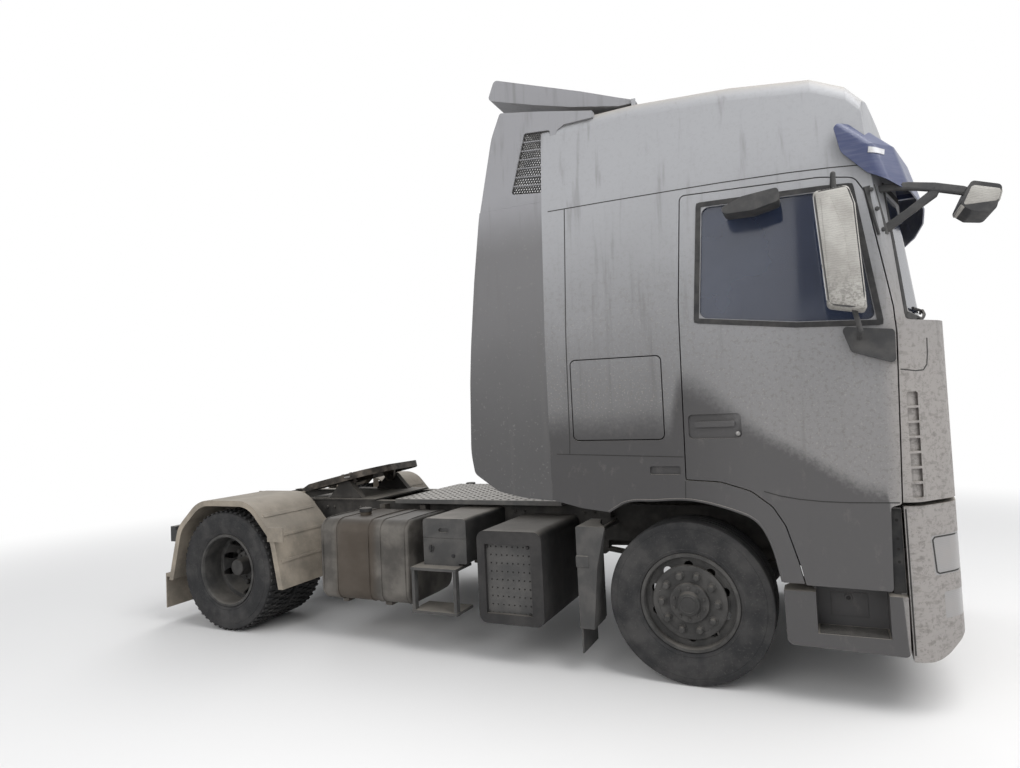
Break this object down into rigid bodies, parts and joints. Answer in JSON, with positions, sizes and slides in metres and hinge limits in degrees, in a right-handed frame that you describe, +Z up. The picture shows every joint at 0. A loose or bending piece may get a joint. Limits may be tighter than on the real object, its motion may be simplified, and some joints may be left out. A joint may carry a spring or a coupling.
{
  "type": "semi_truck_tractor",
  "caption": "Semi truck tractor unit with a high-roof sleeper cab over the engine, steered front axle, twin rear wheels and a coupling plate for a trailer",
  "frame": {"origin": "under the middle of the truck's overall box, on the floor", "axes": "+X forward, +Y to the truck's left, +Z up"},
  "size_m": [6.2751, 3.09, 4.1128],
  "materials": {
    "body_paint": "satin, dusty",
    "wheel_steel": "matt, dusty",
    "tyre": "matt, dusty",
    "chassis_paint": "matt",
    "cast_iron": "rough",
    "plate_steel": "greasy, worn",
    "aluminium": "dull, dusty",
    "dark_plastic": "matt",
    "grey_plastic": "matt, dusty",
    "glass": "clear",
    "lamp_lens": "clear",
    "visor_plastic": "gloss",
    "seat_cloth": "woven",
    "lamp_plastic": "gloss"
  },
  "bodies": {
    "chassis": {"frame": "chassis_paint", "front_axle": "cast_iron", "springs": "chassis_paint", "rear_axle": "cast_iron", "engine": "cast_iron", "drive_line": "cast_iron", "fifth_wheel_base": "chassis_paint", "catwalk": "aluminium", "fuel_tanks": "aluminium", "service_box": "dark_plastic", "silencer_box": "aluminium", "battery_box": "dark_plastic", "rear_mudguards": "grey_plastic", "tail_lamps": "lamp_plastic", "front_bumper": "body_paint", "headlamps": "lamp_lens", "steps": "body_paint", "front_flaps": "dark_plastic"},
    "cab": {"cab_shell": "body_paint", "cab_back_wall": "body_paint", "cab_floor": "chassis_paint", "roof_cap": "body_paint", "side_deflectors": "body_paint", "sun_visor": "visor_plastic", "windscreen": "glass", "seats": "seat_cloth", "dashboard": "dark_plastic", "front_mirror": "dark_plastic"},
    "knuckle_right": {"knuckle_right": "cast_iron"},
    "wheel_front_right": {"tyre_front_right": "tyre", "rim_front_right": "wheel_steel"},
    "wheel_rear_right": {"tyres_rear_right": "tyre", "rims_rear_right": "wheel_steel"},
    "door_right": {"door_right": "body_paint", "door_glass_right": "glass", "mirror_right": "dark_plastic"},
    "locker_right": {"locker_lid_right": "body_paint"},
    "knuckle_left": {"knuckle_left": "cast_iron"},
    "wheel_front_left": {"tyre_front_left": "tyre", "rim_front_left": "wheel_steel"},
    "wheel_rear_left": {"tyres_rear_left": "tyre", "rims_rear_left": "wheel_steel"},
    "door_left": {"door_left": "body_paint", "door_glass_left": "glass", "mirror_left": "dark_plastic"},
    "locker_left": {"locker_lid_left": "body_paint"},
    "track_rod": {"track_rod": "cast_iron"},
    "fifth_wheel": {"fifth_wheel": "plate_steel"},
    "steering_wheel": {"steering_wheel": "dark_plastic"},
    "front_lid": {"front_lid": "body_paint"},
    "roof_deflector": {"roof_deflector": "body_paint"}
  },
  "joints": [
    {"name": "steer_right", "type": "hinge", "parent": "chassis", "child": "knuckle_right", "pos_m": [1.432, -0.84, 0.5], "axis": [0, 0, 1], "range_deg": [-38, 38]},
    {"name": "steer_left", "type": "hinge", "parent": "chassis", "child": "knuckle_left", "pos_m": [1.432, 0.84, 0.5], "axis": [0, 0, 1], "range_deg": [-38, 38]},
    {"name": "track_rod_pivot", "type": "hinge", "parent": "knuckle_right", "child": "track_rod", "pos_m": [1.182, -0.84, 0.402], "axis": [0, 0, 1], "range_deg": [-38, 38]},
    {"name": "steering_column", "type": "hinge", "parent": "cab", "child": "steering_wheel", "pos_m": [2.192, 0.605, 1.96], "axis": [-0.5736, 0, 0.8192], "range_deg": [-646, 646]},
    {"name": "hub_front_right", "type": "hinge", "parent": "knuckle_right", "child": "wheel_front_right", "pos_m": [1.432, -1.03, 0.5], "axis": [0, 1, 0], "continuous": true},
    {"name": "hub_rear_right", "type": "hinge", "parent": "chassis", "child": "wheel_rear_right", "pos_m": [-2.368, -0.9175, 0.5], "axis": [0, 1, 0], "continuous": true},
    {"name": "hub_front_left", "type": "hinge", "parent": "knuckle_left", "child": "wheel_front_left", "pos_m": [1.432, 1.03, 0.5], "axis": [0, 1, 0], "continuous": true},
    {"name": "hub_rear_left", "type": "hinge", "parent": "chassis", "child": "wheel_rear_left", "pos_m": [-2.368, 0.9175, 0.5], "axis": [0, 1, 0], "continuous": true},
    {"name": "cab_tilt", "type": "hinge", "parent": "chassis", "child": "cab", "pos_m": [2.832, 0, 1.04], "axis": [0, 1, 0], "range_deg": [0, 60]},
    {"name": "door_hinge_right", "type": "hinge", "parent": "cab", "child": "door_right", "pos_m": [2.632, -1.25, 1.8], "axis": [0, 0, 1], "range_deg": [0, 70]},
    {"name": "door_hinge_left", "type": "hinge", "parent": "cab", "child": "door_left", "pos_m": [2.632, 1.25, 1.8], "axis": [0, 0, -1], "range_deg": [0, 70]},
    {"name": "front_lid_hinge", "type": "hinge", "parent": "cab", "child": "front_lid", "pos_m": [2.937, 0, 2.085], "axis": [0, -1, 0], "range_deg": [0, 80]},
    {"name": "locker_hinge_right", "type": "hinge", "parent": "cab", "child": "locker_right", "pos_m": [1.063, -1.254, 2.034], "axis": [-1, 0, 0], "range_deg": [0, 85]},
    {"name": "locker_hinge_left", "type": "hinge", "parent": "cab", "child": "locker_left", "pos_m": [1.063, 1.254, 2.034], "axis": [1, 0, 0], "range_deg": [0, 85]},
    {"name": "fifth_wheel_pivot", "type": "hinge", "parent": "chassis", "child": "fifth_wheel", "pos_m": [-1.768, 0, 1.12], "axis": [0, 1, 0], "range_deg": [0, 24]},
    {"name": "roof_deflector_hinge", "type": "hinge", "parent": "cab", "child": "roof_deflector", "pos_m": [1.232, 0, 3.7245], "axis": [0, 1, 0], "range_deg": [0, 8]}
  ],
  "couplings": [
    {"joint": "steer_left", "follows": "steer_right", "ratio": 1},
    {"joint": "track_rod_pivot", "follows": "steer_right", "ratio": -1},
    {"joint": "steering_column", "follows": "steer_right", "ratio": 17}
  ]
}
